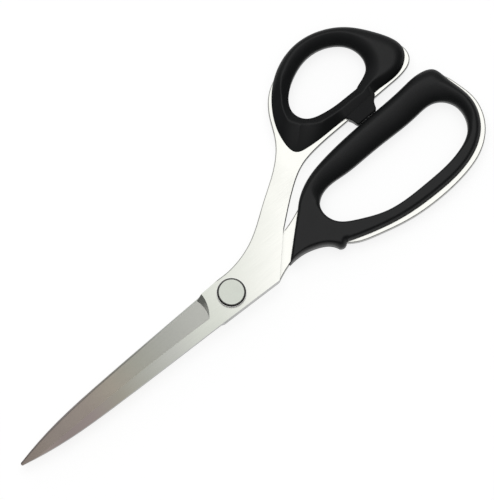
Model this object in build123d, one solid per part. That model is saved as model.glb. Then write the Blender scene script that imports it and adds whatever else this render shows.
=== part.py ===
from build123d import *
import os

# Bent fabric shears, closed. Millimetres. The origin is on the pivot axis at the underside of
# the bolt head, +X runs along the closed cutting line to the tip, +Y towards the finger loop
# and +Z up through the tension dial.

# ---- driving sizes ------------------------------------------------------------------------
blade_reach = 115.5            # pivot axis to the blade tip
blade_half_width = 8.2         # pivot axis to either long edge, beside the pivot
blade_thickness = 3.6
tip_thickness = 1.8
taper_start = 15.0             # the blade keeps its full thickness up to here
edge_land = 0.3                # flat left under the ground bevel, at the cutting edge
tip_half_width = 0.8
handle_length = 135.0          # pivot axis to the back of the finger loop
drawn_handle_length = 135.0    # the length at which the handle outlines below are drawn
joggle_start = 36.0            # from here the handle steel steps towards the middle plane
joggle_length = 22.0
blade_gap = 0.12               # clear space between the two blades
edge_round = 0.45
shortest_rounded_edge = 1.0
bevel_shoulder_radius = 16.0   # grinding wheel, where the bevel runs out behind

# ---- grips --------------------------------------------------------------------------------
grip_wall = 2.4                # moulding inside the steel loop, round each hole
bumper_height = 6.4
bumper_gap = 0.3               # left between the stop and the finger grip when closed

# ---- pivot --------------------------------------------------------------------------------
head_height = 1.6
head_radius = 7.0
head_chamfer = 0.7
neck_radius = 4.2              # double-D neck, keyed in the finger blade
neck_flat = 3.4                # pivot axis to each flat
shoulder_radius = 3.2          # round journal that the thumb half turns on
stem_radius = 2.5              # threaded end
stem_flat = 2.0                # pivot axis to each flat that keys the washer
bush_wall = 1.0
washer_radius = 6.0
washer_thickness = 0.6
counterbore_radius = 5.9
counterbore_depth = 1.4
spring_thickness = 0.28
keyed_washer_thickness = 0.6
keyed_washer_margin = 0.3      # radial, to the wall of the counterbore
running_clearance = 0.04       # radial, between turning round faces
key_clearance = 0.03
seat_clearance = 0.01          # round pieces pressed into their seats
rest_clearance = 0.03          # between stacked flat faces
stem_clearance = 0.2           # stem end to the cap, more than the dial's travel downwards

# ---- tension dial -------------------------------------------------------------------------
dial_radius = 6.5
dial_height = 2.2
dial_gap = 0.22                # dial underside to the thumb blade
dial_chamfer_width = 0.85
dial_chamfer_height = 0.75
cap_thickness = 0.5
cap_edge_round = 0.12
lock_ring_wall = 0.8
lock_ring_height = 0.7
cap_margin = 0.15              # radial, flat left between the cap and the dial's chamfer

# ---- heights that follow ------------------------------------------------------------------
middle_z = head_height + blade_thickness + blade_gap / 2
finger_top = middle_z - blade_gap / 2
thumb_bottom = middle_z + blade_gap / 2
thumb_top = thumb_bottom + blade_thickness
grip_height = 2 * middle_z
joggle_end = joggle_start + joggle_length
steel_low = thumb_bottom - blade_thickness / 2
steel_high = thumb_top - blade_thickness / 2
spring_floor = thumb_top - counterbore_depth
dial_bottom = thumb_top + dial_gap
dial_top = dial_bottom + dial_height
keyed_washer_top = dial_bottom - rest_clearance
keyed_washer_bottom = keyed_washer_top - keyed_washer_thickness
cap_bottom = dial_top - cap_thickness
stem_top = cap_bottom - stem_clearance
pocket_floor = thumb_bottom - rest_clearance - washer_thickness
shoulder_top = spring_floor - rest_clearance
journal_bore = shoulder_radius + running_clearance
bush_outer = journal_bore + bush_wall
stem_bore = stem_radius + running_clearance
cap_radius = dial_radius - dial_chamfer_width - cap_margin
lock_ring_bottom = cap_bottom - lock_ring_height
lock_ring_outer = stem_bore + lock_ring_wall
reach = 2 * handle_length      # larger than the shears, for cutting tools
tool_margin = 2.0              # how far a cutting tool runs past what it cuts
tiny = 0.01

# ---- outlines, seen from above -------------------------------------------------------------
# Front of a blade, spine side then cutting side, at the reach and half width it is drawn for.
drawn_blade_reach = 115.5
drawn_blade_half_width = 8.2
spine_line = [(30, 7.3), (70, 6.1), (95, 4.4), (108, 2.4)]
cutting_line = [(100, -3.3), (80, -5.1), (50, -6.35), (14.5, -6.9)]
ricasso_end = (10.0, -7.9)
# Ground bevel: distance from the pivot, then where it starts and ends across the blade.
bevel_stations = [(5, -8.3, 2.6), (45, -6.55, 1.7), (80, -5.1, 1.6), (102, -2.95, 1.9),
                  (119, 0.4, 2.6)]
bevel_shoulder_centre = (26.3, -8.0)
# Thumb half behind the pivot.
shank_palm_edge = [(-10, -8.8), (-20, -12.0), (-35, -21.5), (-50, -31.9), (-57, -40.0)]
thumb_rim_front = [(-61.6, -49.5), (-68, -57.4), (-78, -62.2)]
thumb_loop_back = [(-91, -64.3), (-105, -60.6), (-115.5, -52.5), (-122, -42.8)]
thumb_loop_heel = (-125.6, -35.5)
thumb_rim_top = [(-124.2, -30.4), (-119, -27.8), (-110, -27.1), (-86, -26.4), (-68, -25.7)]
shank_gap_edge = [(-59, -23.9), (-50, -18.9), (-40, -11.2)]
gap_vertex = (-33.4, -5.9)
heel_corner = (-19.5, 8.8)
thumb_hole = [(-90, -34.7), (-80, -35.6), (-72.4, -39.0), (-70.4, -44.5), (-73.5, -50.8), (-81, -56.2),
              (-91, -58.9), (-101, -56.6), (-107.6, -50.3), (-108.8, -43.5), (-105.6, -38.0),
              (-99, -35.2)]
# Finger half behind the pivot.
tang_rest_edge = [(-24, 6.9), (-28, 5.6), (-36, 4.2), (-44, 7.0), (-49.5, 11.8)]
finger_rim_outer = [(-55, 16.3), (-65, 20.1), (-80, 23.6), (-95, 24.7), (-110, 23.6), (-122, 20.1),
                    (-131, 12.6), (-135, 0), (-133.3, -9)]
finger_bar_outer = [(-129.5, -17.5), (-123, -20.9), (-110, -20.9), (-80, -19.3), (-62, -17.3),
                    (-51, -12.9)]
tang_gap_edge = [(-44, -9.9), (-34, -6.9)]
finger_hole = [(-90, -9.5), (-110, -9.5), (-120.5, -9.0), (-126.2, -3), (-124.4, 8.4), (-114, 14.4),
               (-95, 16.2), (-74, 14.6), (-62, 9.6), (-54.0, 3.4), (-53.2, -4.6), (-58.5, -9.1),
               (-70, -9.5)]
# Moulded grips.
thumb_grip = [(-84, -27.9), (-107, -28.6), (-119, -29.4), (-124.8, -35.0), (-120.5, -48.4),
              (-110, -60.1), (-92, -66.5), (-75, -61.7), (-64, -50.3), (-59.2, -36), (-60.2, -30.2),
              (-66, -28.3)]
bumper = [(-84.5, -33), (-86.2, -27.2), (-88.7, -22.3), (-89.0, -21.0), (-98.8, -21.0),
          (-99.0, -22.3), (-101, -25.8), (-104.5, -29.6), (-103, -33)]
finger_grip_nose = (-27.3, 6.2)
finger_grip_rest = [(-35, 6.1), (-41, 7.7), (-46.5, 11.0), (-48.4, 14.3)]
finger_grip_hook = [(-50.2, 15.2), (-52.6, 14.1)]
finger_grip_back = [(-65, 18.2), (-80, 21.4), (-95, 22.3), (-115, 20.3), (-128, 13.0), (-133.7, 0),
                    (-131, -15), (-129.3, -20.4), (-124.5, -22.8), (-113, -22.7), (-100, -22.1),
                    (-70, -20.5), (-56, -17.4)]
finger_grip_gap = (-45, -10.0)


def at_handle(points):
    """Handle points, moved out in step with the handle length."""
    scale = handle_length / drawn_handle_length
    return [(x * scale, y * scale) for x, y in points]


def at_blade(points):
    """Blade points, moved out in step with the blade's reach and width."""
    stretch = blade_reach / drawn_blade_reach
    widening = blade_half_width / drawn_blade_half_width
    return [(x * stretch, y * widening) for x, y in points]


def closed_curve(points, heading):
    """The face inside one smooth loop, which leaves and meets its first point at a heading."""
    return make_face(Spline(*points, points[0], tangents=[heading, heading]))


def pushed_out(points, distance):
    """A clockwise ring of points, each moved out square to the line between its neighbours."""
    moved = []
    for before, point, after in zip(points[-1:] + points[:-1], points, points[1:] + points[:1]):
        along = Vector(*after) - Vector(*before)
        moved.append(Vector(*point) + Vector(-along.Y, along.X).normalized() * distance)
    return moved


def prism(face, bottom, top):
    """The face as a solid between two heights."""
    return extrude(Pos(0, 0, bottom) * face, top - bottom)


def ring(outer, inner, bottom, top):
    """A flat round ring between two heights."""
    return prism(Circle(outer) - Circle(inner), bottom, top)


def double_d(radius, flat, bottom, top):
    """A round bar with two flats, between two heights."""
    return prism(Circle(radius) & Rectangle(2 * flat, 3 * radius), bottom, top)


# ---- blades --------------------------------------------------------------------------------
def front_edges():
    """Tip, spine and cutting side of a blade, from the spine at the pivot to the ricasso."""
    spine_start = (0, blade_half_width)
    tip_spine = (blade_reach, tip_half_width)
    tip_edge = (blade_reach, -tip_half_width)
    spine = Spline(spine_start, *at_blade(spine_line), tip_spine)
    tip = ThreePointArc(tip_spine, (blade_reach + tip_half_width, 0), tip_edge)
    cutting = at_blade(cutting_line)
    step_end = at_blade([ricasso_end])[0]
    edge = Spline(tip_edge, *cutting)
    step = Line(cutting[-1], step_end)
    ricasso = Line(step_end, (0, -blade_half_width))
    return spine + tip + edge + step + ricasso


def thumb_face():
    """Plan of the thumb half: blade, shank and the outside of the loop."""
    heel, vertex, loop_heel = at_handle([heel_corner, gap_vertex, thumb_loop_heel])
    palm = at_handle(shank_palm_edge + thumb_rim_front + thumb_loop_back)
    gap_side = at_handle(thumb_rim_top + shank_gap_edge)
    lines = front_edges()
    lines += Spline((0, -blade_half_width), *palm, loop_heel, *gap_side, vertex)
    lines += Line(vertex, heel)
    lines += Line(heel, (0, blade_half_width))
    return make_face(lines)


def finger_face():
    """Plan of the finger half, drawn the right way up."""
    heel = at_handle([heel_corner])[0]
    rest_side = at_handle(tang_rest_edge + finger_rim_outer)
    bar_side = at_handle(finger_bar_outer + tang_gap_edge)
    lines = mirror(front_edges(), Plane.XZ)
    lines += Line((0, blade_half_width), heel)
    lines += Spline(heel, *rest_side, *bar_side)
    lines += Line(bar_side[-1], (0, -blade_half_width))
    return make_face(lines)


def thumb_hole_face(margin=0.0):
    """Thumb hole, or the same shape with a margin all round."""
    return closed_curve(pushed_out(at_handle(thumb_hole), margin), (1, 0))


def finger_hole_face(margin=0.0):
    """Finger hole, or the same shape with a margin all round."""
    return closed_curve(pushed_out(at_handle(finger_hole), margin), (-1, 0))


def side_profile():
    """Side view of the thumb half's steel: tapered blade, flat heel and the step to the handle."""
    level = [(-1, 0), (-1, 0)]
    tip_x = blade_reach + tool_margin
    lines = Polyline((tip_x, thumb_bottom), (tip_x, thumb_bottom + tip_thickness),
                     (taper_start, thumb_top), (-joggle_start, thumb_top))
    lines += Spline((-joggle_start, thumb_top), (-joggle_end, steel_high), tangents=level)
    lines += Polyline((-joggle_end, steel_high), (-reach, steel_high), (-reach, steel_low),
                      (-joggle_end, steel_low))
    lines += Spline((-joggle_start, thumb_bottom), (-joggle_end, steel_low), tangents=level)
    lines += Line((-joggle_start, thumb_bottom), (tip_x, thumb_bottom))
    side = Pos(0, reach / 2, 0) * (Plane.XZ * make_face(lines))
    return extrude(side, reach)


def top_height(x):
    """Height of the thumb blade's upper face at x."""
    along = (x - taper_start) / (blade_reach - taper_start)
    return thumb_top - max(0, along) * (blade_thickness - tip_thickness)


def bevel_section(x, edge_y, ridge_y):
    """Section across the blade of what the grinding wheel takes off at x."""
    low = Vector(edge_y, thumb_bottom + edge_land)
    high = Vector(ridge_y, top_height(x))
    past = (high - low).normalized() * tool_margin
    above = thumb_top + 3 * tool_margin
    outer = low - past
    inner = high + past
    outline = Polyline(outer, inner, (inner.X, above), (outer.X, above), close=True)
    return Plane(origin=(x, 0, 0), x_dir=(0, 1, 0), z_dir=(1, 0, 0)) * make_face(outline)


def bevel_tool():
    """What the grinding wheel takes off the thumb blade, up to its curved shoulder."""
    sections = []
    for x, edge_y, ridge_y in bevel_stations:
        (along, edge), (_, ridge) = at_blade([(x, edge_y), (x, ridge_y)])
        sections.append(bevel_section(along, edge, ridge))
    wedge = loft(sections)
    cx, cy = at_blade([bevel_shoulder_centre])[0]
    radius = bevel_shoulder_radius
    wheel = Pos(cx, cy, thumb_top - radius / 2) * Cone(0, radius, radius)
    wheel += prism(Pos(cx, cy) * Circle(radius), thumb_top, thumb_top + reach)
    ahead = Pos(cx + reach / 2, 0, 0) * Box(reach, reach, reach)
    return wedge & (wheel + ahead)


def turned_over(solid):
    """A half turn about the closed cutting line, which carries one blade onto the other."""
    return Pos(0, 0, 2 * middle_z) * (Rot(180, 0, 0) * solid)


def outline_edges(blank):
    """Long edges of a blade blank behind the pivot, above and below."""
    behind = [e for e in blank.edges() if e.bounding_box().max.X < tiny]
    curved = [e for e in behind if e.geom_type != GeomType.LINE]
    return [e for e in curved if e.bounding_box().size.X > shortest_rounded_edge]


# ---- pieces --------------------------------------------------------------------------------
def thumb_blade():
    blank = prism(thumb_face(), 0, grip_height) & side_profile()
    blade = fillet(outline_edges(blank), edge_round) - bevel_tool()
    blade -= prism(thumb_hole_face(grip_wall), 0, grip_height)
    blade -= prism(Circle(bush_outer + seat_clearance), 0, grip_height)
    return blade - prism(Circle(counterbore_radius), spring_floor, grip_height)


def finger_blade():
    blank = prism(finger_face(), 0, grip_height) & turned_over(side_profile())
    blade = fillet(outline_edges(blank), edge_round) - turned_over(bevel_tool())
    blade -= prism(finger_hole_face(grip_wall), 0, grip_height)
    blade -= prism(Circle(washer_radius + key_clearance), pocket_floor, grip_height)
    return blade - double_d(neck_radius + key_clearance, neck_flat + key_clearance, 0, grip_height)


def thumb_grip_piece(steel):
    """Soft moulding round the thumb loop, with the stop that lands on the finger grip."""
    outline = closed_curve(at_handle(thumb_grip), (-1, 0))
    grip = prism(outline - thumb_hole_face(), 0, grip_height)
    low = middle_z - bumper_height / 2
    stop = prism(make_face(Polyline(*at_handle(bumper), close=True)), low, low + bumper_height)
    stop -= Pos(0, -bumper_gap, 0) * prism(finger_grip_face(), 0, grip_height)
    return grip + stop - steel


def finger_grip_face():
    """Plan of the finger grip's outside: finger rest, hook, back, bar and front edge."""
    nose, gap = at_handle([finger_grip_nose, finger_grip_gap])
    rest, hook, back = [at_handle(p) for p in (finger_grip_rest, finger_grip_hook, finger_grip_back)]
    lines = Spline(nose, *rest) + Spline(rest[-1], *hook) + Spline(hook[-1], *back, gap)
    return make_face(lines + Line(gap, nose))


def finger_grip_piece(steel):
    """Soft moulding round the finger loop, with the finger rest and its hook at the front."""
    return prism(finger_grip_face() - finger_hole_face(), 0, grip_height) - steel


def pivot_bolt():
    head = Pos(0, 0, head_height / 2) * Cylinder(head_radius, head_height)
    head = chamfer(head.edges().group_by(Axis.Z)[0], head_chamfer)
    bolt = head + double_d(neck_radius, neck_flat, head_height, pocket_floor)
    bolt += prism(Circle(shoulder_radius), pocket_floor, shoulder_top)
    return bolt + double_d(stem_radius, stem_flat, shoulder_top, stem_top)


def blade_washer():
    return ring(washer_radius, journal_bore, pocket_floor, pocket_floor + washer_thickness)


def pivot_bush():
    return ring(bush_outer, journal_bore, thumb_bottom, spring_floor)


def spring_washer():
    """Coned disc spring between the thumb blade and the keyed washer."""
    inner = stem_radius + 2 * running_clearance
    outer = counterbore_radius - 2 * running_clearance
    low = spring_floor + rest_clearance
    high = keyed_washer_bottom - rest_clearance
    section = Polyline((inner, high - spring_thickness), (inner, high), (outer, low + spring_thickness),
                       (outer, low), close=True)
    return revolve(Plane.XZ * make_face(section), Axis.Z)


def keyed_washer():
    disc = prism(Circle(counterbore_radius - keyed_washer_margin), keyed_washer_bottom, keyed_washer_top)
    return disc - double_d(stem_bore, stem_flat + running_clearance, 0, stem_top)


def tension_dial():
    body = Pos(0, 0, dial_bottom + dial_height / 2) * Cylinder(dial_radius, dial_height)
    top = body.faces().sort_by(Axis.Z)[-1]
    body = chamfer(top.edges(), dial_chamfer_width, dial_chamfer_height, reference=top)
    body -= prism(Circle(cap_radius + seat_clearance), cap_bottom, dial_top)
    body -= prism(Circle(lock_ring_outer + seat_clearance), lock_ring_bottom, cap_bottom)
    return body - prism(Circle(stem_bore), dial_bottom, dial_top)


def dial_lock_ring():
    return ring(lock_ring_outer, stem_bore, lock_ring_bottom, lock_ring_bottom + lock_ring_height)


def dial_cap():
    disc = Pos(0, 0, cap_bottom + cap_thickness / 2) * Cylinder(cap_radius, cap_thickness)
    return fillet(disc.edges().group_by(Axis.Z)[-1], cap_edge_round)


def main():
    thumb_steel = thumb_blade()
    finger_steel = finger_blade()
    pieces = {
        "finger_blade": finger_steel,
        "finger_grip": finger_grip_piece(finger_steel),
        "pivot_bolt": pivot_bolt(),
        "blade_washer": blade_washer(),
        "thumb_blade": thumb_steel,
        "thumb_grip": thumb_grip_piece(thumb_steel),
        "pivot_bush": pivot_bush(),
        "spring_washer": spring_washer(),
        "keyed_washer": keyed_washer(),
        "tension_dial": tension_dial(),
        "dial_lock_ring": dial_lock_ring(),
        "dial_cap": dial_cap(),
    }
    os.makedirs("parts", exist_ok=True)
    for name, piece in pieces.items():
        export_step(piece, f"parts/{name}.step")


main()
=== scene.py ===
import math

import bmesh
import bpy
import numpy as np
from mathutils import Matrix, Vector


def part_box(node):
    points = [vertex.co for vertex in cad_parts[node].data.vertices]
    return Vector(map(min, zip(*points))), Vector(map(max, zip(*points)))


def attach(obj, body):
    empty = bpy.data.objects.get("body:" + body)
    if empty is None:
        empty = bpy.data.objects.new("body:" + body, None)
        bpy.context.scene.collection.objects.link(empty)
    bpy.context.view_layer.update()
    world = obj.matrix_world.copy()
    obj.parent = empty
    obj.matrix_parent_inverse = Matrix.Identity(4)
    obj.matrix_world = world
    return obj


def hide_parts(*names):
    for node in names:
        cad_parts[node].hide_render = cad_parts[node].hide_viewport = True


# Bent fabric shears. Metres; plan tables are in millimetres, and MM turns them into metres.
# +X runs to the tip, +Y towards the finger loop, and the pivot axis is the Z axis.
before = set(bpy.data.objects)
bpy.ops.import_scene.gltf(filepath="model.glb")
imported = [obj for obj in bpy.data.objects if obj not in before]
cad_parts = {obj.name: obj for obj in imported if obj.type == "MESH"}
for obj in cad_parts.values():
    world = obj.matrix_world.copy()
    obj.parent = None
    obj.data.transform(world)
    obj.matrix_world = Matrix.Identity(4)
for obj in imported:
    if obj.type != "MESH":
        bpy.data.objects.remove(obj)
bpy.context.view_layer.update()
MM = 0.001

grip_low, grip_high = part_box("finger_grip")
dial_low, dial_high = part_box("tension_dial")
cap_low, cap_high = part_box("dial_cap")
middle_z = (grip_low.z + grip_high.z) / 2
half_height = (grip_high.z - grip_low.z) / 2


# ---- nodes ---------------------------------------------------------------------------------
class Value:
    """One node output that can be added, multiplied and compared like a number."""

    def __init__(self, nodes, socket):
        self.nodes = nodes
        self.socket = socket

    def maths(self, operation, first, second=0.0):
        inputs = {0: first, 1: second}
        return self.nodes.add("ShaderNodeMath", inputs, operation=operation)

    def __add__(self, other):
        return self.maths("ADD", self, other)

    __radd__ = __add__

    def __sub__(self, other):
        return self.maths("SUBTRACT", self, other)

    def __rsub__(self, other):
        return self.maths("SUBTRACT", other, self)

    def __mul__(self, other):
        return self.maths("MULTIPLY", self, other)

    __rmul__ = __mul__

    def __truediv__(self, other):
        return self.maths("DIVIDE", self, other)

    def __pow__(self, other):
        return self.maths("POWER", self, other)

    def larger(self, other):
        return self.maths("MAXIMUM", self, other)

    def size(self):
        """The value without its sign."""
        return self.maths("ABSOLUTE", self)

    def ramp(self, low, high):
        """0 at low and 1 at high, smooth between."""
        inputs = {"Value": self, "From Min": low, "From Max": high}
        return self.nodes.add("ShaderNodeMapRange", inputs, interpolation_type="SMOOTHSTEP")


class Nodes:
    """A node tree that is filled one node at a time."""

    def __init__(self, tree):
        self.tree = tree

    def add(self, kind, inputs=(), output=0, **settings):
        """A new node with its settings and inputs, given back as one of its outputs."""
        node = self.tree.nodes.new(kind)
        for name, setting in settings.items():
            setattr(node, name, setting)
        for key, value in dict(inputs).items():
            self.feed(node.inputs[key], value)
        return Value(self, node.outputs[output])

    def feed(self, socket, value):
        """Link a Value to a socket, or set the socket to a plain number or colour."""
        if isinstance(value, Value):
            self.tree.links.new(value.socket, socket)
        else:
            socket.default_value = value


class Paint(Nodes):
    """A material on one principled shader, patterned in object coordinates."""

    def __init__(self, name):
        self.material = bpy.data.materials.new(name)
        self.material.use_nodes = True
        super().__init__(self.material.node_tree)
        self.tree.nodes.clear()
        self.shader = self.tree.nodes.new("ShaderNodeBsdfPrincipled")
        output = self.tree.nodes.new("ShaderNodeOutputMaterial")
        self.tree.links.new(self.shader.outputs[0], output.inputs[0])
        self.place = self.add("ShaderNodeTexCoord", output="Object")
        self.x, self.y, self.z = self.parts(self.place)

    def set(self, name, value):
        """One input of the material's shader."""
        self.feed(self.shader.inputs[name], value)

    def parts(self, vector):
        """A vector's x, y and z."""
        split = self.add("ShaderNodeSeparateXYZ", {0: vector}).socket.node
        return [Value(self, split.outputs[i]) for i in range(3)]

    def facing(self):
        """The surface's own direction, as x, y and z parts."""
        return self.parts(self.add("ShaderNodeTexCoord", output="Normal"))

    def noise(self, cell, stretch=(1, 1, 1), detail=2.0):
        """Cloudy noise whose patches are about one cell across, in metres."""
        spread = tuple(part / cell for part in stretch)
        vector = self.add("ShaderNodeVectorMath", {0: self.place, 1: spread}, operation="MULTIPLY")
        return self.add("ShaderNodeTexNoise", {"Vector": vector, "Scale": 1.0, "Detail": detail})

    def radius(self):
        """Distance from the pivot axis."""
        return (self.x * self.x + self.y * self.y) ** 0.5

    def rings(self, rate):
        """Waves between -1 and 1 in rings round the pivot axis, at a rate in radians per metre."""
        return self.add("ShaderNodeMath", {0: self.radius() * rate}, operation="SINE")

    def blend(self, factor, first, second):
        """A colour between two colours."""
        inputs = {0: factor, 6: first, 7: second}
        return self.add("ShaderNodeMix", inputs, output=2, data_type="RGBA", clamp_factor=True)

    def stops(self, value, colours):
        """A colour read off stops, which are pairs of a place and a colour in rising order."""
        low, high = colours[0][0], colours[-1][0]
        ramp = self.add("ShaderNodeValToRGB", {0: (value - low) / (high - low)})
        elements = ramp.socket.node.color_ramp.elements
        elements[0].color = colours[0][1]
        elements[1].color = colours[-1][1]
        for place, colour in colours[1:-1]:
            elements.new((place - low) / (high - low)).color = colour
        return ramp

    def bump(self, height, distance, strength=1.0):
        inputs = {"Height": height, "Distance": distance, "Strength": strength}
        self.set("Normal", self.add("ShaderNodeBump", inputs))


def screen(*levels):
    """A linear colour from 0-255 screen levels."""
    return tuple((level / 255) ** 2.2 for level in levels) + (1.0,)


def grey(level, warmth=0):
    """A near neutral linear colour, with red raised and blue lowered by the warmth."""
    return screen(level + warmth, level, level - warmth)


# ---- materials -----------------------------------------------------------------------------
# Painted reflection on the steel by distance along the blade, on the flats and on the ground bevels:
# bright by the pivot, greyer and warmer towards the tip.
STEEL_REFLECTION_TONES = [
    (-0.030, screen(255, 255, 249)), (-0.012, screen(240, 241, 234)), (0.010, screen(218, 221, 212)),
    (0.020, screen(209, 212, 203)), (0.035, screen(188, 189, 183)), (0.050, screen(169, 170, 162)),
    (0.065, screen(154, 150, 139)), (0.080, screen(145, 134, 131)), (0.095, screen(139, 128, 125)),
    (0.108, screen(149, 137, 131)), (0.118, screen(150, 138, 132)),
]
BEVEL_REFLECTION_TONES = [
    (-0.030, screen(215, 216, 208)), (0.020, screen(210, 211, 204)), (0.035, screen(202, 203, 195)),
    (0.050, screen(192, 192, 180)), (0.065, screen(189, 181, 167)), (0.080, screen(172, 161, 152)),
    (0.095, screen(168, 157, 149)), (0.108, screen(181, 168, 158)), (0.118, screen(182, 168, 159)),
]
# shares of their brightness that the painted reflection keeps on the flats and on the bevels
FLAT_BRIGHTNESS = 0.57
BEVEL_BRIGHTNESS = 0.83
SHANK_SLANT = 0.8             # how far the bands of painted reflection lean across the handle steel
BEVEL_START = 0.005           # behind here no slope counts as ground
LAP_START = 0.012             # ahead of here the inner faces are ground, and painted shade darkens them
EDGE_SHADOW_TOP = 0.00056           # the painted shadow on the sharpened strip ends this far from the plane between the blades


def polished_steel(name, inside):
    """Bright steel with painted reflection, greyer and warmer towards the tip; ground on the bevels and
    the inner face, with painted shade on the side walls, on the inner face and in a thin strip along the
    cutting edge.

    Inside is the way along Z that the inner face looks, 1 for up and -1 for down.
    """
    paint = Paint(name)
    paint.set("Metallic", 1.0)
    _, face_y, face_z = paint.facing()
    lines = paint.noise(0.00022, (0.02, 1.0, 0.3), 3.0)
    clouds = paint.noise(0.012, (0.3, 1.0, 1.0))
    behind = paint.x.ramp(0.010, -0.010)
    # painted reflection: bands of brightness along the blade, leaning across the handle steel
    flat = paint.stops(paint.x - paint.y * behind * SHANK_SLANT, STEEL_REFLECTION_TONES)
    bevel = paint.stops(paint.x, BEVEL_REFLECTION_TONES)
    sloping = face_y.size().ramp(0.15, 0.28) * face_z.size().ramp(0.6, 0.8)
    ground = sloping * paint.x.ramp(BEVEL_START - MM, BEVEL_START + MM)
    flat = dimmed(paint, flat, FLAT_BRIGHTNESS)
    bevel = dimmed(paint, bevel, BEVEL_BRIGHTNESS)
    tone = paint.blend(ground, flat, bevel)
    # painted shade on the side walls
    wall_shade = face_z.size().ramp(0.55, 0.25) * 0.78
    # inner face ahead of the pivot: ground, and darkened as painted shade where the lower blade shows
    # past the upper blade's edge
    lapped_and_shaded = (face_z * inside).ramp(0.90, 0.97) * paint.x.ramp(LAP_START - 2 * MM, LAP_START + 2 * MM)
    from_middle = (paint.z - middle_z).size()
    # painted shadow in a thin strip along the cutting edge
    edge_shadow = from_middle.ramp(EDGE_SHADOW_TOP, EDGE_SHADOW_TOP - 0.12 * MM) * ground
    worn = ((lines - 0.45) * 0.16 + (clouds - 0.45) * 0.12).larger(0.0)
    # painted shade on the walls, the inner face and the edge strip, with brushed lines and patches of
    # wear
    painted_shade_and_mottle = wall_shade + lapped_and_shaded * 0.45 + edge_shadow * 0.6 + worn
    paint.set("Base Color", paint.blend(painted_shade_and_mottle, tone, grey(90)))
    paint.set("Roughness", 0.20 + ground * 0.12 + (lines - 0.5) * 0.08)
    paint.bump(lines * (0.3 + ground), 0.000004)
    return paint.material


def dimmed(paint, colour, share):
    """A colour with only a share of its brightness."""
    return paint.blend(share, (0.0, 0.0, 0.0, 1.0), colour)


def black_moulding():
    """Soft matt black moulding with a very fine grain."""
    paint = Paint("black moulding")
    clouds = paint.noise(0.006)
    grain = paint.noise(0.0005, detail=4.0)
    paint.set("Base Color", paint.blend(clouds, grey(20, -1), grey(30, -1)))
    paint.set("Roughness", 0.42 + (grain - 0.5) * 0.12)
    paint.set("Specular IOR Level", 0.25)
    paint.bump(grain, 0.00004, 0.6)
    return paint.material


def turned_steel():
    """Machined steel with fine rings about the pivot axis."""
    paint = Paint("turned steel")
    paint.set("Metallic", 1.0)
    rings = paint.rings(30000.0)
    clouds = paint.noise(0.002)
    paint.set("Base Color", paint.blend(clouds, grey(190, 1), grey(212, 1)))
    paint.set("Roughness", 0.26 + clouds * 0.08)
    paint.bump(rings, 0.000004, 0.6)
    return paint.material


def nylon():
    """Natural nylon, slightly mottled."""
    paint = Paint("natural nylon")
    clouds = paint.noise(0.0015)
    paint.set("Base Color", paint.blend(clouds, grey(226, 4), grey(238, 3)))
    paint.set("Roughness", 0.42 + clouds * 0.1)
    return paint.material


def bronze():
    """Plain bearing bronze."""
    paint = Paint("bearing bronze")
    paint.set("Metallic", 1.0)
    clouds = paint.noise(0.0012)
    paint.set("Base Color", paint.blend(clouds, (0.42, 0.25, 0.10, 1), (0.55, 0.34, 0.15, 1)))
    paint.set("Roughness", 0.3 + clouds * 0.1)
    return paint.material


RIDGE_DEPTH = 0.30 * MM       # of the knurl on the tension dial


def dial_plate():
    """Polished plating for the dial's knurled rim and chamfer, bright on the ridge tips, with painted
    shade, mottled in patches, in the grooves and on the chamfer.
    """
    paint = Paint("dial plating")
    paint.set("Metallic", 1.0)
    clouds = paint.noise(0.0011)
    groove = dial_high.x - RIDGE_DEPTH
    ridge = paint.radius().ramp(groove + 0.01 * MM, groove + 0.1 * MM)
    # painted shade, mottled in patches, in the knurl's grooves and on the chamfer; the ridge tips keep
    # the plating's own bright colour
    painted_shade_and_mottle = paint.blend(clouds, grey(62), grey(80, 1))
    paint.set("Base Color", paint.blend(ridge, painted_shade_and_mottle, grey(205, 1)))
    paint.set("Roughness", 0.2 + clouds * 0.08)
    return paint.material


def dial_face():
    """Satin disc, turned in very fine rings."""
    paint = Paint("dial face")
    paint.set("Metallic", 1.0)
    rings = paint.rings(42000.0)
    clouds = paint.noise(0.003)
    paint.set("Base Color", paint.blend(clouds, screen(171, 174, 167), screen(177, 181, 173)))
    paint.set("Roughness", 0.34 + rings * 0.03)
    paint.bump(rings, 0.000002, 0.5)
    return paint.material


TABLE_GLOW = 0.95             # lifts the table towards plain white


def table_top():
    """Plain pale table."""
    paint = Paint("pale table")
    clouds = paint.noise(0.2)
    paint.set("Base Color", paint.blend(clouds, grey(150), grey(152)))
    paint.set("Roughness", 0.9)
    paint.set("Specular IOR Level", 0.1)
    paint.set("Emission Color", paint.blend(clouds, grey(238), grey(240)))
    paint.set("Emission Strength", TABLE_GLOW)
    return paint.material


# ---- mesh helpers --------------------------------------------------------------------------
def new_piece(name, points, faces, material, body, replaced):
    """A smooth mesh piece at the origin that stands for a CAD node and moves with a body."""
    mesh = bpy.data.meshes.new(name)
    mesh.from_pydata([tuple(p) for p in points], [], faces)
    work = bmesh.new()
    work.from_mesh(mesh)
    bmesh.ops.recalc_face_normals(work, faces=work.faces)
    work.to_mesh(mesh)
    work.free()
    mesh.materials.append(material)
    mesh.shade_smooth()
    piece = bpy.data.objects.new(name, mesh)
    bpy.context.scene.collection.objects.link(piece)
    finished(piece, body, replaced)
    return piece


def finished(piece, body, replaced):
    """The piece moves with its body and stands for a CAD node."""
    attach(piece, body)
    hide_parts(replaced)


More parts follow.
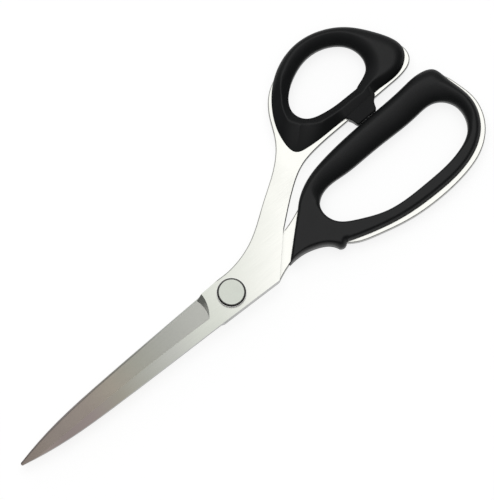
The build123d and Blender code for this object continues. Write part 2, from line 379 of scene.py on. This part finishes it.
def flat_outlines(node, height):
    """Outlines, in metres and longest first, of a CAD node's flat upward faces at one height."""
    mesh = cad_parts[node].data
    place = [tuple(round(c, 7) for c in v.co) for v in mesh.vertices]
    directed = {}
    for polygon in mesh.polygons:
        corners = [place[i] for i in polygon.vertices]
        if polygon.normal.z > 0.5 and all(abs(c[2] - height) < 1e-5 for c in corners):
            for start, end in zip(corners, corners[1:] + corners[:1]):
                directed[start, end] = True
    following = {a: b for a, b in directed if (b, a) not in directed}
    outlines = []
    while following:
        first = next(iter(following))
        chain = [first]
        step = following.pop(first)
        while step != first:
            chain.append(step)
            step = following.pop(step)
        outlines.append(np.array(chain)[:, :2])
    return sorted(outlines, key=lambda chain: -along(chain)[-1])


def along(chain):
    """Distance along a closed outline at each of its points and back at the start."""
    steps = np.roll(chain, -1, axis=0) - chain
    return np.concatenate([[0], np.cumsum(np.hypot(steps[:, 0], steps[:, 1]))])


def even_points(chain, count):
    """Evenly spaced points round a closed outline."""
    walked = along(chain)
    closed = np.vstack([chain, chain[:1]])
    wanted = np.linspace(0, walked[-1], count, endpoint=False)
    return np.column_stack([np.interp(wanted, walked, closed[:, i]) for i in (0, 1)])


CORNER_KEPT = 0.8 * MM        # round a corner, this much outline stays as it is
CORNER_FADE = 1.2 * MM


def eased(chain, corners, reach=3):
    """The outline with its facets smoothed out, except close to the named corners."""
    soft = sum(np.roll(chain, shift, axis=0) for shift in range(-reach, reach + 1)) / (2 * reach + 1)
    keep = np.zeros(len(chain))
    for corner in corners:
        gap = np.hypot(*(chain - np.array(corner) * MM).T)
        keep = np.maximum(keep, 1 - np.clip((gap - CORNER_KEPT) / CORNER_FADE, 0, 1))
    return chain * keep[:, None] + soft * (1 - keep[:, None])


def nearest(chain, point):
    """The place in an outline of the point closest to a plan point in millimetres."""
    return int(np.argmin(np.hypot(*(chain - np.array(point) * MM).T)))


def distance_to(chain, points):
    """Shortest distance from each point to a closed outline."""
    start = chain
    step = np.roll(chain, -1, axis=0) - start
    length = (step ** 2).sum(1)
    found = []
    for block in np.array_split(points, max(1, len(points) // 400)):
        offset = block[:, None, :] - start[None]
        share = np.clip((offset * step).sum(2) / length, 0, 1)
        gap = offset - share[..., None] * step
        found.append(np.sqrt((gap ** 2).sum(2)).min(1))
    return np.concatenate(found)


def edge_rise(distance, reach, power):
    """0 on an edge, levelling off at 1 once the distance passes the reach."""
    share = np.clip(distance / reach, 0, 1)
    return (1 - (1 - share) ** power) ** (1 / power)


# ---- grips ---------------------------------------------------------------------------------
# One row per station round a loop, in millimetres: hole point, outside point, then the section
# there. It gives how far the outer slope reaches in, the half height left at the outer edge, its
# fullness (2 is round, 1 is a plain slope), the same three for the slope at the hole, and the
# crest's half height.
FINGER_STATIONS = [
    ((-90, -9.5), (-90, -21.4), 3.6, 1.6, 1.9, 9.4, 1.4, 1.7, 5.26),
    ((-112, -9.5), (-113, -22.7), 3.8, 1.6, 1.9, 10.0, 1.4, 1.7, 5.26),
    ((-121.5, -8.6), (-128.5, -21.5), 5.0, 1.6, 1.8, 9.0, 1.4, 1.7, 5.26),
    ((-126.2, -3), (-132.7, -8), 2.8, 1.6, 1.8, 5.6, 1.6, 1.7, 5.26),
    ((-126.6, 3), (-133.0, 4.5), 2.6, 1.6, 2.0, 4.6, 2.0, 1.7, 5.26),
    ((-124, 8.4), (-129, 11.8), 2.6, 1.8, 2.0, 2.6, 2.8, 1.8, 5.26),
    ((-114, 14.4), (-115, 20.3), 2.2, 1.8, 2.0, 1.2, 3.8, 2.0, 5.26),
    ((-95, 16.2), (-95, 22.3), 2.2, 1.8, 2.0, 0.9, 3.8, 2.0, 5.26),
    ((-74, 14.6), (-71.5, 20.1), 2.2, 1.8, 2.0, 0.9, 3.8, 2.0, 5.26),
    ((-62, 9.6), (-53.6, 14.0), 2.0, 1.8, 2.0, 1.0, 3.8, 2.0, 5.26),
    ((-57.8, 6.6), (-49.2, 15.2), 2.6, 1.6, 1.6, 1.0, 3.8, 2.0, 5.26),
    ((-55.6, 4.8), (-46.5, 11.0), 1.8, 1.8, 2.0, 1.0, 3.8, 2.0, 5.26),
    ((-53.5, 2.2), (-36, 6.1), 1.8, 1.8, 2.0, 1.0, 3.8, 2.0, 5.26),
    ((-52.5, -0.8), (-27.4, 6.1), 1.2, 2.2, 2.0, 1.0, 3.8, 2.0, 5.26),
    ((-52.7, -3), (-36, -1.8), 1.0, 3.4, 2.0, 1.0, 3.8, 2.0, 5.26),
    ((-54.4, -6.6), (-45, -10), 1.4, 2.8, 2.0, 2.2, 3.2, 2.0, 5.26),
    ((-58.5, -9.1), (-56, -17.4), 2.6, 1.8, 2.0, 6.6, 1.8, 1.7, 5.26),
    ((-68, -9.5), (-68, -20.3), 3.4, 1.6, 1.9, 8.6, 1.4, 1.7, 5.26),
]
FINGER_CORNERS = [(-27.3, 6.2), (-45, -10.0), (-48.4, 14.3), (-50.2, 15.2), (-52.6, 14.1)]
THUMB_STATIONS = [
    ((-94, -34.8), (-94, -28.2), 3.8, 4.15, 1.05, 2.8, 3.1, 1.05, 5.2),
    ((-99.5, -35.3), (-100.5, -28.4), 3.8, 4.1, 1.05, 3.6, 2.9, 1.1, 5.2),
    ((-103, -36.6), (-106.5, -28.6), 4.2, 2.2, 1.15, 4.4, 2.8, 1.15, 5.2),
    ((-107, -39.6), (-119.4, -29.5), 4.5, 1.5, 1.7, 7.0, 1.6, 1.5, 5.2),
    ((-108.8, -43.5), (-124.8, -36.0), 6.0, 1.4, 2.0, 7.0, 1.3, 1.5, 5.26),
    ((-107.6, -50.3), (-120.3, -48.8), 5.6, 1.6, 2.0, 7.0, 1.3, 1.5, 5.26),
    ((-101, -56.6), (-108, -61.7), 3.2, 2.0, 2.0, 6.4, 1.4, 1.5, 5.26),
    ((-91, -58.9), (-91, -66.5), 2.6, 2.4, 2.0, 6.0, 1.6, 1.6, 5.26),
    ((-81, -56.2), (-76.4, -62.5), 3.0, 2.4, 1.6, 4.8, 2.2, 1.4, 5.26),
    ((-73.5, -50.8), (-64.6, -51.4), 5.8, 1.9, 1.08, 4.2, 2.6, 1.1, 5.2),
    ((-70.4, -44.5), (-60.2, -41.5), 6.2, 1.9, 1.05, 4.2, 2.8, 1.05, 5.2),
    ((-72.4, -39.0), (-59.8, -30.9), 11.0, 1.8, 1.05, 3.4, 3.0, 1.05, 5.2),
    ((-80, -35.6), (-76, -28.0), 4.6, 2.4, 1.05, 3.0, 3.1, 1.05, 5.2),
    ((-84.5, -35.0), (-82.5, -28.0), 4.0, 2.5, 1.05, 2.8, 3.1, 1.05, 5.2),
    ((-88.5, -34.8), (-87.0, -28.1), 3.8, 4.15, 1.05, 2.8, 3.1, 1.05, 5.2),
]
SPOKES = 420                  # sections round a loop
SECTION = 30                  # points across one side of a section
OUTSIDE_POINTS = 1400
HOLE_POINTS = 900
CREST_BLEND = 0.14            # millimetres, where the two slopes run together


def spokes_between(hole, outside, stations):
    """Matching points on the hole and the outside, with the section sizes at each."""
    rows = []
    around = along(outside)
    spans = []
    for here, then in zip(stations, stations[1:] + stations[:1]):
        a, b = nearest(outside, here[1]), nearest(outside, then[1])
        spans.append((around[b] - around[a]) % around[-1])
    for here, then, span in zip(stations, stations[1:] + stations[:1], spans):
        count = max(4, round(SPOKES * span / sum(spans)))
        share = np.arange(count) / count
        ends = [walk(chain, here[i], then[i], share) for i, chain in enumerate((hole, outside))]
        soft = share * share * (3 - 2 * share)
        sizes = np.array(here[2:]) + soft[:, None] * (np.array(then[2:]) - np.array(here[2:]))
        rows.append(np.hstack([*ends, sizes]))
    return np.vstack(rows)


def walk(chain, start, end, share):
    """Points at even shares of the way along a closed outline from one place to another."""
    walked = along(chain)
    closed = np.vstack([chain, chain[:1]])
    a, b = walked[nearest(chain, start)], walked[nearest(chain, end)]
    wanted = (a + share * ((b - a) % walked[-1])) % walked[-1]
    return np.column_stack([np.interp(wanted, walked, closed[:, i]) for i in (0, 1)])


def crowned(points, sizes, hole, outside):
    """Half height of a crowned loop at plan points, from their distances to its two edges."""
    out_reach, out_wall, out_full, in_reach, in_wall, in_full, crest = sizes.T
    outer = edge_rise(distance_to(outside, points), out_reach * MM, out_full)
    inner = edge_rise(distance_to(hole, points), in_reach * MM, in_full)
    outer = out_wall + (crest - out_wall) * outer
    inner = in_wall + (crest - in_wall) * inner
    mixed = np.clip(0.5 + 0.5 * (inner - outer) / CREST_BLEND, 0, 1)
    level = inner * (1 - mixed) + outer * mixed - CREST_BLEND * mixed * (1 - mixed)
    return np.clip(level * MM, 0.5 * MM, half_height)


def loop_mesh(outlines, stations, corners):
    """Points and faces of a closed moulding round a hole."""
    outside, hole = outlines
    outside = eased(even_points(outside, OUTSIDE_POINTS), corners)
    hole = eased(even_points(hole[::-1], HOLE_POINTS), [])
    spokes = spokes_between(hole, outside, ordered(stations, outside))
    share = (1 - np.cos(np.linspace(0, math.pi, SECTION))) / 2
    plan = spokes[:, None, 2:4] * (1 - share[:, None]) + spokes[:, None, :2] * share[:, None]
    sizes = np.repeat(spokes[:, 4:], SECTION, axis=0)
    flat = plan.reshape(-1, 2)
    level = crowned(flat, sizes, hole, outside).reshape(len(spokes), SECTION)
    top = np.dstack([plan, middle_z + level])
    bottom = np.dstack([plan, middle_z - level])[:, ::-1]
    ring = np.concatenate([top, bottom], axis=1)
    count = ring.shape[1]
    faces = []
    for i in range(len(spokes)):
        j = (i + 1) % len(spokes)
        for k in range(count):
            m = (k + 1) % count
            faces.append((i * count + k, i * count + m, j * count + m, j * count + k))
    return list(ring.reshape(-1, 3)), faces


def ordered(stations, outside):
    """The stations in the order in which the outside outline passes them."""
    return sorted(stations, key=lambda row: nearest(outside, row[1]))


def finger_grip():
    """Crowned moulding round the finger loop."""
    outlines = flat_outlines("finger_grip", grip_high.z)
    points, faces = loop_mesh(outlines, FINGER_STATIONS, FINGER_CORNERS)
    new_piece("finger_moulding", points, faces, black, "finger_half", "finger_grip")


STOP_RINGS = 26
STOP_POINTS = 360
STOP_ROUND = 0.5 * MM         # radius of the stop's softened edges
STOP_CREST = 4.95 * MM        # half height at the stop's root, under the loop's crest
STOP_FALL = 2.7 * MM          # lost from the half height by the stop's end
STOP_ROOT = 3.4 * MM          # how far the root reaches in under the loop
STOP_WAIST = 0.08             # share of the width lost half way along


def stop_mesh(outline):
    """Points and faces of the stop, a low block with softened edges that falls away from the loop."""
    outline = even_points(outline, STOP_POINTS)
    centre = (outline.min(0) + outline.max(0)) / 2
    share = np.cos(np.linspace(0, math.pi / 2, STOP_RINGS, endpoint=False))
    plan = centre + (outline - centre)[None] * share[:, None, None]
    flat = plan.reshape(-1, 2)
    rise = edge_rise(distance_to(outline, flat), STOP_ROUND, 2.0)
    fall = (flat[:, 1] - outline[:, 1].min()) / np.ptp(outline[:, 1])
    level = STOP_CREST - STOP_FALL * fall - STOP_ROUND * (1 - rise)
    level = level.reshape(plan.shape[:2])
    top = np.dstack([plan, middle_z + level])
    bottom = np.dstack([plan, middle_z - level])
    count = len(outline)
    layers = np.concatenate([bottom[::-1], top])
    points = list(layers.reshape(-1, 3))
    crown = STOP_CREST - STOP_FALL / 2
    points += [(*centre, middle_z - crown), (*centre, middle_z + crown)]
    faces = []
    for i in range(len(layers) - 1):
        for k in range(count):
            m = (k + 1) % count
            faces.append((i * count + k, i * count + m, (i + 1) * count + m, (i + 1) * count + k))
    last = (len(layers) - 1) * count
    for k in range(count):
        m = (k + 1) % count
        faces.append((k, m, len(points) - 2))
        faces.append((last + k, last + m, len(points) - 1))
    return points, faces


def thumb_grip():
    """Crowned moulding round the thumb loop, with the stop that lands on the finger grip."""
    outlines = flat_outlines("thumb_grip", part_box("thumb_grip")[1].z)
    points, faces = loop_mesh(outlines, THUMB_STATIONS, [])
    stop = even_points(flat_outlines("thumb_grip", stop_height())[0], STOP_POINTS)
    stop = rooted(eased(stop, [], 7))
    more_points, more_faces = stop_mesh(stop)
    faces += [tuple(i + len(points) for i in face) for face in more_faces]
    points += more_points
    new_piece("thumb_moulding", points, faces, black, "thumb_half", "thumb_grip")


def rooted(outline):
    """The stop's outline with a narrowed waist and its root carried in under the crest of the loop."""
    from_root = outline[:, 1] - outline[:, 1].min()
    middle = outline[:, 0].mean()
    waist = 1 - STOP_WAIST * np.sin(math.pi * from_root / from_root.max()) ** 2
    outline[:, 0] = middle + (outline[:, 0] - middle) * waist
    outline[:, 1] -= STOP_ROOT * np.clip(1 - from_root / MM, 0, 1)
    return outline


def stop_height():
    """Height of the stop's flat top: the highest level on the moulding below its own top."""
    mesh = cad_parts["thumb_grip"].data
    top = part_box("thumb_grip")[1].z
    levels = [p.center.z for p in mesh.polygons if p.normal.z > 0.99 and p.center.z < top - MM]
    return max(levels)


# ---- dial ----------------------------------------------------------------------------------
RIDGES = 84
DIAL_TURNS = 168              # flats round the dial's body, two to a ridge
DIAL_BORE = 2.6 * MM
SHOULDER_DROP = 0.75 * MM     # height of the chamfer round the cap
SEAT_GAP = 0.02 * MM          # round the cap
DIAL_SOFT = 0.10 * MM         # softened edges
RIDGE_SHARE = 0.72            # of the knurl's pitch, taken up by a ridge across its diagonal
RIDGE_INSET = 0.01 * MM       # keeps the ridges inside the dial's radius


def turned(profile, count):
    """Points and faces of a closed profile of radius and height turned about the pivot axis."""
    points, faces = [], []
    for i in range(count):
        angle = 2 * math.pi * i / count
        points += [(r * math.cos(angle), r * math.sin(angle), z) for r, z in profile]
    size = len(profile)
    for i in range(count):
        j = (i + 1) % count
        for k in range(size):
            m = (k + 1) % size
            faces.append((i * size + k, i * size + m, j * size + m, j * size + k))
    return points, faces


def knurl_tree():
    """Ridges set round a circle and joined to the body they are given."""
    tree = bpy.data.node_groups.new("straight knurl", "GeometryNodeTree")
    interface = tree.interface
    interface.new_socket("Geometry", in_out="OUTPUT", socket_type="NodeSocketGeometry")
    interface.new_socket("Geometry", in_out="INPUT", socket_type="NodeSocketGeometry")
    interface.new_socket("Ridges", in_out="INPUT", socket_type="NodeSocketInt")
    for name in ("Radius", "Width", "Height", "Middle"):
        interface.new_socket(name, in_out="INPUT", socket_type="NodeSocketFloat")
    interface.new_socket("Finish", in_out="INPUT", socket_type="NodeSocketMaterial")
    nodes = Nodes(tree)
    given = tree.nodes.new("NodeGroupInput")
    value = {socket.name: Value(nodes, socket) for socket in given.outputs if socket.name}
    circle = nodes.add("GeometryNodeMeshCircle", {"Vertices": value["Ridges"], "Radius": value["Radius"]})
    lift = nodes.add("ShaderNodeCombineXYZ", {2: value["Middle"]})
    circle = nodes.add("GeometryNodeSetPosition", {"Geometry": circle, "Offset": lift})
    size = nodes.add("ShaderNodeCombineXYZ", {0: value["Width"], 1: value["Width"], 2: value["Height"]})
    ridge = nodes.add("GeometryNodeMeshCube", {"Size": size})
    turn = {"Geometry": ridge, "Rotation": (0, 0, math.pi / 4)}
    ridge = nodes.add("GeometryNodeTransform", turn)
    place = nodes.add("GeometryNodeInputPosition")
    flat = nodes.add("ShaderNodeVectorMath", {0: place, 1: (1, 1, 0)}, operation="MULTIPLY")
    facing = nodes.add("FunctionNodeAlignRotationToVector", {"Vector": flat}, axis="X")
    inputs = {"Points": circle, "Instance": ridge, "Rotation": facing}
    ridges = nodes.add("GeometryNodeInstanceOnPoints", inputs)
    joined = tree.nodes.new("GeometryNodeJoinGeometry")
    tree.links.new(given.outputs["Geometry"], joined.inputs[0])
    tree.links.new(ridges.socket, joined.inputs[0])
    real = nodes.add("GeometryNodeRealizeInstances", {0: Value(nodes, joined.outputs[0])})
    done = nodes.add("GeometryNodeSetMaterial", {"Geometry": real, "Material": value["Finish"]})
    output = tree.nodes.new("NodeGroupOutput")
    tree.links.new(done.socket, output.inputs[0])
    return tree


def with_knurl(body, inputs):
    """The body's mesh with the knurl made real on it."""
    modifier = body.modifiers.new("knurl", "NODES")
    modifier.node_group = knurl_tree()
    for item in modifier.node_group.interface.items_tree:
        if item.item_type == "SOCKET" and item.in_out == "INPUT" and item.name in inputs:
            modifier[item.identifier] = inputs[item.name]
    bpy.context.view_layer.update()
    evaluated = body.evaluated_get(bpy.context.evaluated_depsgraph_get())
    mesh = bpy.data.meshes.new_from_object(evaluated)
    body.modifiers.clear()
    body.data = mesh


def tension_dial():
    """Knurled dial round the satin cap, with a polished chamfer."""
    radius, low, top = dial_high.x, dial_low.z, dial_high.z
    cap, seat = cap_high.x, cap_low.z
    body = radius - RIDGE_DEPTH
    shoulder = top - SHOULDER_DROP
    soft = DIAL_SOFT
    wall = cap + SEAT_GAP
    profile = [(DIAL_BORE, low), (body - 2 * soft, low), (body - soft / 3, low + soft),
               (body, low + 2 * soft), (body, shoulder - 2 * soft),
               (body - soft / 2, shoulder - soft / 2), (body - 2 * soft, shoulder + soft),
               (cap + 3 * soft, top - soft), (cap + 2 * soft, top), (wall, top), (wall, seat),
               (DIAL_BORE, seat)]
    points, faces = turned(profile, DIAL_TURNS)
    mesh = bpy.data.meshes.new("knurled_dial")
    mesh.from_pydata(points, [], faces)
    mesh.materials.append(plating)
    piece = bpy.data.objects.new("knurled_dial", mesh)
    bpy.context.scene.collection.objects.link(piece)
    diagonal = 2 * math.pi * radius / RIDGES * RIDGE_SHARE
    height = shoulder - low - 3 * soft
    with_knurl(piece, {
        "Ridges": RIDGES, "Radius": radius - diagonal / 2 - RIDGE_INSET, "Width": diagonal / math.sqrt(2),
        "Height": height, "Middle": low + soft + height / 2, "Finish": plating,
    })
    work = bmesh.new()
    work.from_mesh(piece.data)
    bmesh.ops.recalc_face_normals(work, faces=work.faces)
    work.to_mesh(piece.data)
    work.free()
    piece.data.shade_flat()
    finished(piece, "dial", "tension_dial")


# ---- dress the CAD pieces ------------------------------------------------------------------
def dress(node, material):
    """A CAD node's own mesh, in the material of its slot."""
    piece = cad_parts[node]
    piece.data.materials.clear()
    piece.data.materials.append(material)


def dress_all():
    """The CAD pieces that are shown as they are."""
    dress("thumb_blade", thumb_steel)
    dress("finger_blade", finger_steel)
    for node in ("pivot_bolt", "spring_washer", "keyed_washer"):
        dress(node, machined)
    for node in ("blade_washer", "dial_lock_ring"):
        dress(node, plastic)
    dress("pivot_bush", bearing)
    dress("dial_cap", satin)


# ---- studio --------------------------------------------------------------------------------
TABLE_HALF_SIDE = 3.0
TABLE_DROP = 0.2 * MM         # keeps the table's face clear of the undersides
PANEL_DIRECTION = Vector((-0.12, -0.25, 1.0))
PANEL_DISTANCE = 8.0
PANEL_SIDE = 6.5
CAMERA_TILT = math.radians(10)
CAMERA_RIGHT = Vector((-0.7722, 0.6354, 0))
CAMERA_BACK = Vector((0.6354 * math.sin(CAMERA_TILT), 0.7722 * math.sin(CAMERA_TILT),
                      math.cos(CAMERA_TILT)))
CAMERA_UP = CAMERA_BACK.cross(CAMERA_RIGHT)
CAMERA_AIM = Vector((-0.0174, -0.0107, 0.0052))
CAMERA_DISTANCE = 4.5
CAMERA_FIELD = 0.2144         # width seen at the aim


def table():
    """Plain pale table just under the shears."""
    side = TABLE_HALF_SIDE
    corners = [(-side, -side, 0), (side, -side, 0), (side, side, 0), (-side, side, 0)]
    mesh = bpy.data.meshes.new("table")
    mesh.from_pydata(corners, [], [(0, 1, 2, 3)])
    mesh.materials.append(table_top())
    floor = bpy.data.objects.new("table", mesh)
    floor.location.z = -TABLE_DROP
    bpy.context.scene.collection.objects.link(floor)


def overhead_panel():
    """A soft square light that faces the shears."""
    light = bpy.data.lights.new("overhead panel", "AREA")
    light.size = PANEL_SIDE
    light.energy = math.pi * PANEL_SIDE ** 2
    lamp = bpy.data.objects.new("overhead panel", light)
    lamp.location = PANEL_DIRECTION.normalized() * PANEL_DISTANCE
    lamp.rotation_mode = "QUATERNION"
    lamp.rotation_quaternion = (-lamp.location).to_track_quat("-Z", "Y")
    bpy.context.scene.collection.objects.link(lamp)


def surroundings():
    """A dim room, brighter straight above and low down on the thumb side."""
    world = bpy.data.worlds.new("studio")
    bpy.context.scene.world = world
    world.use_nodes = True
    nodes = Nodes(world.node_tree)
    world.node_tree.nodes.clear()
    direction = nodes.add("ShaderNodeTexCoord", output="Generated")
    split = nodes.add("ShaderNodeSeparateXYZ", {0: direction}).socket.node
    x, y, up = [Value(nodes, split.outputs[i]) for i in range(3)]
    above = up.ramp(0.75, 0.97) * 0.6
    window = (x * -0.45 + y * -0.89).ramp(0.0, 0.8) * up.ramp(0.0, 0.45) * 0.42
    level = 0.16 + above + window
    glow = nodes.add("ShaderNodeBackground", {"Color": (1, 1, 1, 1), "Strength": level})
    output = world.node_tree.nodes.new("ShaderNodeOutputWorld")
    world.node_tree.links.new(glow.socket, output.inputs[0])
    bpy.context.scene.view_settings.view_transform = "Standard"


def camera():
    """A long lens, almost straight above the shears."""
    data = bpy.data.cameras.new("camera")
    data.lens = data.sensor_width * CAMERA_DISTANCE / CAMERA_FIELD
    data.clip_start, data.clip_end = 0.05, 20
    eye = bpy.data.objects.new("camera", data)
    eye.location = CAMERA_AIM + CAMERA_BACK * CAMERA_DISTANCE
    eye.matrix_world = turned_axes((CAMERA_RIGHT, CAMERA_UP, CAMERA_BACK), eye.location)
    bpy.context.scene.collection.objects.link(eye)
    bpy.context.scene.camera = eye


def turned_axes(axes, place):
    """The placing of an object whose own axes point along the given ones."""
    matrix = Matrix(axes).transposed().to_4x4()
    matrix.translation = place
    return matrix


thumb_steel = polished_steel("polished steel, thumb half", -1.0)
finger_steel = polished_steel("polished steel, finger half", 1.0)
black = black_moulding()
machined = turned_steel()
plastic = nylon()
bearing = bronze()
plating = dial_plate()
satin = dial_face()
dress_all()
finger_grip()
thumb_grip()
tension_dial()
table()
surroundings()
overhead_panel()
camera()
